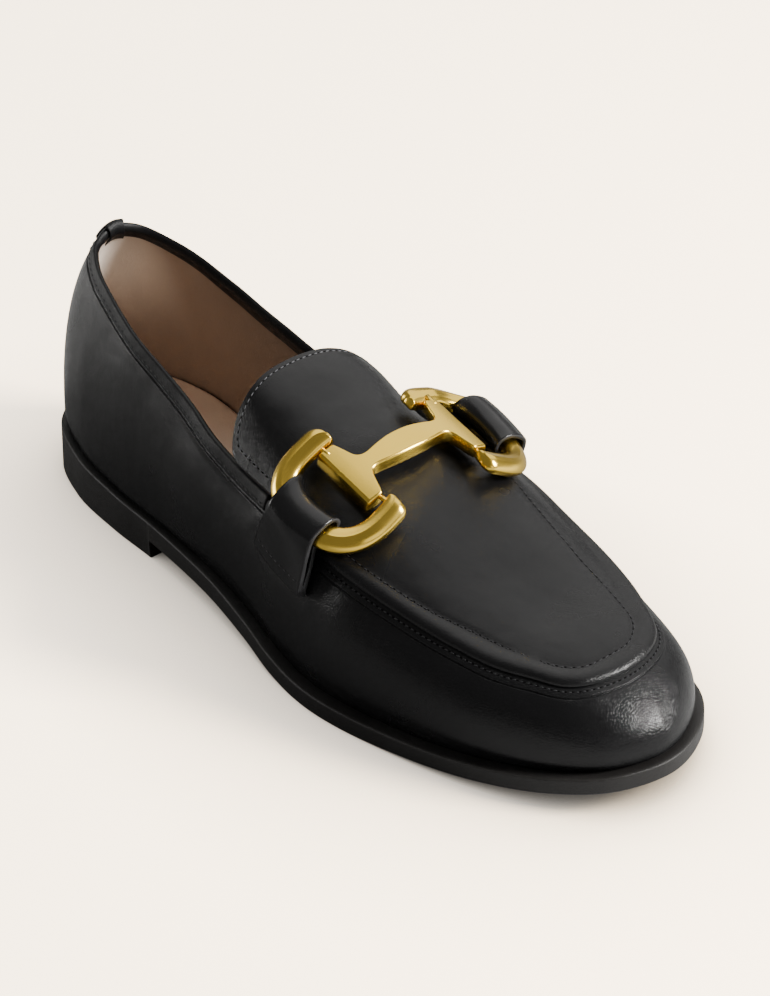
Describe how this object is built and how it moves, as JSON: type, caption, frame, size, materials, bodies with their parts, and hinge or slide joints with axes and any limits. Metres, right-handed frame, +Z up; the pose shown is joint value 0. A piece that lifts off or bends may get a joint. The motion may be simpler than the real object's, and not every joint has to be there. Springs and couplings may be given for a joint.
{
  "type": "bit loafer",
  "caption": "Right women's slip-on leather loafer: raised apron seam, folded straps on both sides of the instep and a metal horse bit across it, on a low moulded heel.",
  "frame": {"origin": "centre of the shoe's bounding box in plan, at the floor the empty shoe stands on", "axes": "+X from the heel to the toe, +Y to the medial side (the wearer's left, this being the right shoe), +Z up"},
  "size_m": [0.265, 0.088, 0.0839],
  "materials": {
    "sole": "matte",
    "upper_leather": "smooth, soft sheen",
    "strap_leather": "smooth, soft sheen",
    "binding": "smooth, soft sheen",
    "insole": "matt tan",
    "bit_metal": "polished"
  },
  "bodies": {
    "root": {"sole": "sole", "upper": "upper_leather", "insole": "insole", "apron_tongue": "upper_leather", "topline_binding": "binding", "heel_tab": "upper_leather", "strap_lateral": "strap_leather", "strap_medial": "strap_leather", "bit_bar": "bit_metal", "bit_ring_lateral": "bit_metal", "bit_ring_medial": "bit_metal"}
  },
  "joints": []
}
